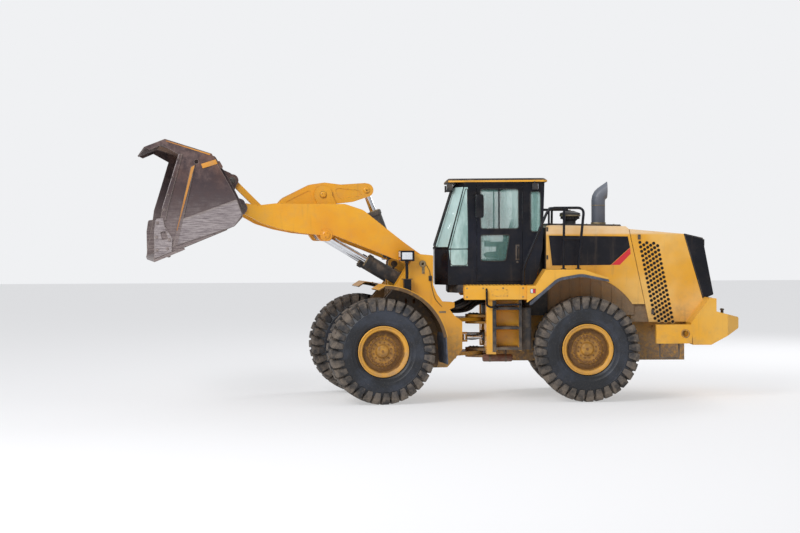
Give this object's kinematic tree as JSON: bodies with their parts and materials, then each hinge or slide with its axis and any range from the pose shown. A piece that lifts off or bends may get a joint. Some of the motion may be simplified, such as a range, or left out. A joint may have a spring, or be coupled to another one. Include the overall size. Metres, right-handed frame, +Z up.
{
  "type": "wheel loader",
  "caption": "Articulated wheel loader with a raised boom, a tilting bucket, a glazed cab and a rear engine hood.",
  "frame": {"origin": "middle of the machine's box in plan, on the ground under the tyres", "axes": "+X forward along the rear frame, +Y to the machine's left, +Z up"},
  "size_m": [9.9822, 3.9814, 4.2044],
  "materials": {
    "yellow_paint": "satin paint, dusty and worn",
    "black_parts": "satin black paint",
    "cab_glass": "tinted safety glass",
    "tyre_rubber": "dusty tyre rubber",
    "worn_steel": "worn bare steel with rust",
    "dark_steel": "dark oiled steel",
    "chrome_rod": "polished hard chrome",
    "strip_rubber": "dull black sheet rubber",
    "seat_fabric": "woven seat cloth"
  },
  "bodies": {
    "chassis": {"rear_frame": "yellow_paint", "hitch_pins": "dark_steel", "rear_axle": "yellow_paint", "engine_block": "dark_steel", "transmission": "dark_steel", "drive_shaft": "dark_steel", "cab_glass": "cab_glass", "cab_frame": "black_parts", "cab_roof": "black_parts", "seat_base": "black_parts", "seat_cushion": "seat_fabric", "steering_column": "black_parts", "hood": "yellow_paint", "rear_hood": "yellow_paint", "tail_grille": "black_parts", "hood_cap": "black_parts", "counterweight": "yellow_paint", "exhaust_stack": "dark_steel", "precleaner": "black_parts", "cab_base": "black_parts", "bulkhead": "black_parts", "platform": "yellow_paint", "ladder": "yellow_paint", "side_tank": "yellow_paint", "rear_fender": "yellow_paint", "handrails": "black_parts", "arch_trim": "strip_rubber"},
    "front_chassis": {"front_frame": "yellow_paint", "front_axle": "yellow_paint", "loader_pins": "dark_steel", "front_fender": "yellow_paint", "mud_flaps": "strip_rubber", "lamp_posts": "black_parts"},
    "boom": {"boom": "yellow_paint", "lever_pin": "dark_steel"},
    "lever": {"tilt_lever": "yellow_paint"},
    "link": {"tilt_link": "yellow_paint"},
    "bucket": {"bucket": "worn_steel", "bucket_pins": "dark_steel", "cutting_edge": "worn_steel"},
    "tilt_cylinder": {"tilt_barrel": "black_parts"},
    "tilt_piston": {"tilt_rod": "chrome_rod"},
    "lift_cylinders": {"lift_barrels": "black_parts"},
    "lift_pistons": {"lift_rods": "chrome_rod"},
    "steer_cylinder_left": {"steer_barrel_left": "black_parts"},
    "steer_piston_left": {"steer_rod_left": "chrome_rod"},
    "door_left": {"door_left": "black_parts", "door_glass_left": "cab_glass"},
    "wheel_front_left": {"tyre_front_left": "tyre_rubber", "rim_front_left": "yellow_paint"},
    "wheel_rear_left": {"tyre_rear_left": "tyre_rubber", "rim_rear_left": "yellow_paint"},
    "steer_cylinder_right": {"steer_barrel_right": "black_parts"},
    "steer_piston_right": {"steer_rod_right": "chrome_rod"},
    "door_right": {"door_right": "black_parts", "door_glass_right": "cab_glass"},
    "wheel_front_right": {"tyre_front_right": "tyre_rubber", "rim_front_right": "yellow_paint"},
    "wheel_rear_right": {"tyre_rear_right": "tyre_rubber", "rim_rear_right": "yellow_paint"}
  },
  "joints": [
    {"name": "steer", "type": "hinge", "parent": "chassis", "child": "front_chassis", "pos_m": [-0.72915, -0.54066, 1.00845], "axis": [0, 0, 1], "range_deg": [-47.1, 26.9]},
    {"name": "lift", "type": "hinge", "parent": "front_chassis", "child": "boom", "pos_m": [0.2593, -0.3646, 2.22945], "axis": [0.1754, -0.9845, 0], "range_deg": [-54.5, 30]},
    {"name": "tilt", "type": "hinge", "parent": "boom", "child": "bucket", "pos_m": [3.17343, 0.15449, 3.14845], "axis": [-0.1754, 0.9845, 0], "range_deg": [-115, 52]},
    {"name": "lever_turn", "type": "hinge", "parent": "boom", "child": "lever", "pos_m": [1.79414, -0.0912, 3.37145], "axis": [-0.1754, 0.9845, 0], "range_deg": [-22.86, 49.95]},
    {"name": "link_turn", "type": "hinge", "parent": "bucket", "child": "link", "pos_m": [3.25612, 0.16922, 3.60945], "axis": [-0.1754, 0.9845, 0], "range_deg": [-33.78, 74.1]},
    {"name": "tilt_barrel_turn", "type": "hinge", "parent": "front_chassis", "child": "tilt_cylinder", "pos_m": [0.62159, -0.30006, 2.22245], "axis": [0.1754, -0.9845, 0], "range_deg": [-60.45, 33.5]},
    {"name": "tilt_rod_slide", "type": "slide", "parent": "tilt_cylinder", "child": "tilt_piston", "axis": [0.3457, 0.0616, 0.9363], "range_m": [-0.1563, 0.3432]},
    {"name": "lift_barrel_turn", "type": "hinge", "parent": "front_chassis", "child": "lift_cylinders", "pos_m": [0.29474, -0.35828, 1.79045], "axis": [0.1754, -0.9845, 0], "range_deg": [-53.37, 29.6]},
    {"name": "lift_rod_slide", "type": "slide", "parent": "lift_cylinders", "child": "lift_pistons", "axis": [0.8455, 0.1506, 0.5124], "range_m": [-0.3825, 0.2114]},
    {"name": "steer_barrel_turn_left", "type": "hinge", "parent": "chassis", "child": "steer_cylinder_left", "pos_m": [-1.62915, -0.25066, 1.00845], "axis": [0, 0, 1], "range_deg": [-12.28, 7.22]},
    {"name": "steer_rod_slide_left", "type": "slide", "parent": "steer_cylinder_left", "child": "steer_piston_left", "axis": [0.988, 0.1542, 0], "range_m": [-0.1804, 0.3144]},
    {"name": "door_left_hinge", "type": "hinge", "parent": "chassis", "child": "door_left", "pos_m": [-0.74314, 0.27434, 2.74845], "axis": [0, 0, -1], "range_deg": [0, 85]},
    {"name": "wheel_front_left_spin", "type": "hinge", "parent": "front_chassis", "child": "wheel_front_left", "pos_m": [0.82281, 0.86833, 0.84845], "axis": [-0.1754, 0.9845, 0], "continuous": true},
    {"name": "wheel_rear_left_spin", "type": "hinge", "parent": "chassis", "child": "wheel_rear_left", "pos_m": [-2.50414, 0.57434, 0.84845], "axis": [0, 1, 0], "continuous": true},
    {"name": "steer_barrel_turn_right", "type": "hinge", "parent": "chassis", "child": "steer_cylinder_right", "pos_m": [-1.62915, -0.83066, 1.00845], "axis": [0, 0, 1], "range_deg": [-12.28, 7.22]},
    {"name": "steer_rod_slide_right", "type": "slide", "parent": "steer_cylinder_right", "child": "steer_piston_right", "axis": [0.9979, -0.0652, 0], "range_m": [-0.3144, 0.1804]},
    {"name": "door_right_hinge", "type": "hinge", "parent": "chassis", "child": "door_right", "pos_m": [-0.74314, -1.35566, 2.74845], "axis": [0, 0, 1], "range_deg": [0, 85]},
    {"name": "wheel_front_right_spin", "type": "hinge", "parent": "front_chassis", "child": "wheel_front_right", "pos_m": [1.21388, -1.32711, 0.84845], "axis": [-0.1754, 0.9845, 0], "continuous": true},
    {"name": "wheel_rear_right_spin", "type": "hinge", "parent": "chassis", "child": "wheel_rear_right", "pos_m": [-2.50414, -1.65566, 0.84845], "axis": [0, 1, 0], "continuous": true}
  ],
  "couplings": [
    {"joint": "lever_turn", "follows": "tilt", "ratio": -0.43},
    {"joint": "link_turn", "follows": "tilt", "ratio": -0.64},
    {"joint": "tilt_barrel_turn", "follows": "lift", "ratio": 1.1},
    {"joint": "tilt_rod_slide", "follows": "tilt", "m_per_rad": -0.17},
    {"joint": "lift_barrel_turn", "follows": "lift", "ratio": 0.97},
    {"joint": "lift_rod_slide", "follows": "lift", "m_per_rad": 0.4},
    {"joint": "steer_barrel_turn_left", "follows": "steer", "ratio": 0.25},
    {"joint": "steer_rod_slide_left", "follows": "steer", "m_per_rad": -0.38},
    {"joint": "steer_barrel_turn_right", "follows": "steer", "ratio": 0.25},
    {"joint": "steer_rod_slide_right", "follows": "steer", "m_per_rad": 0.38}
  ]
}
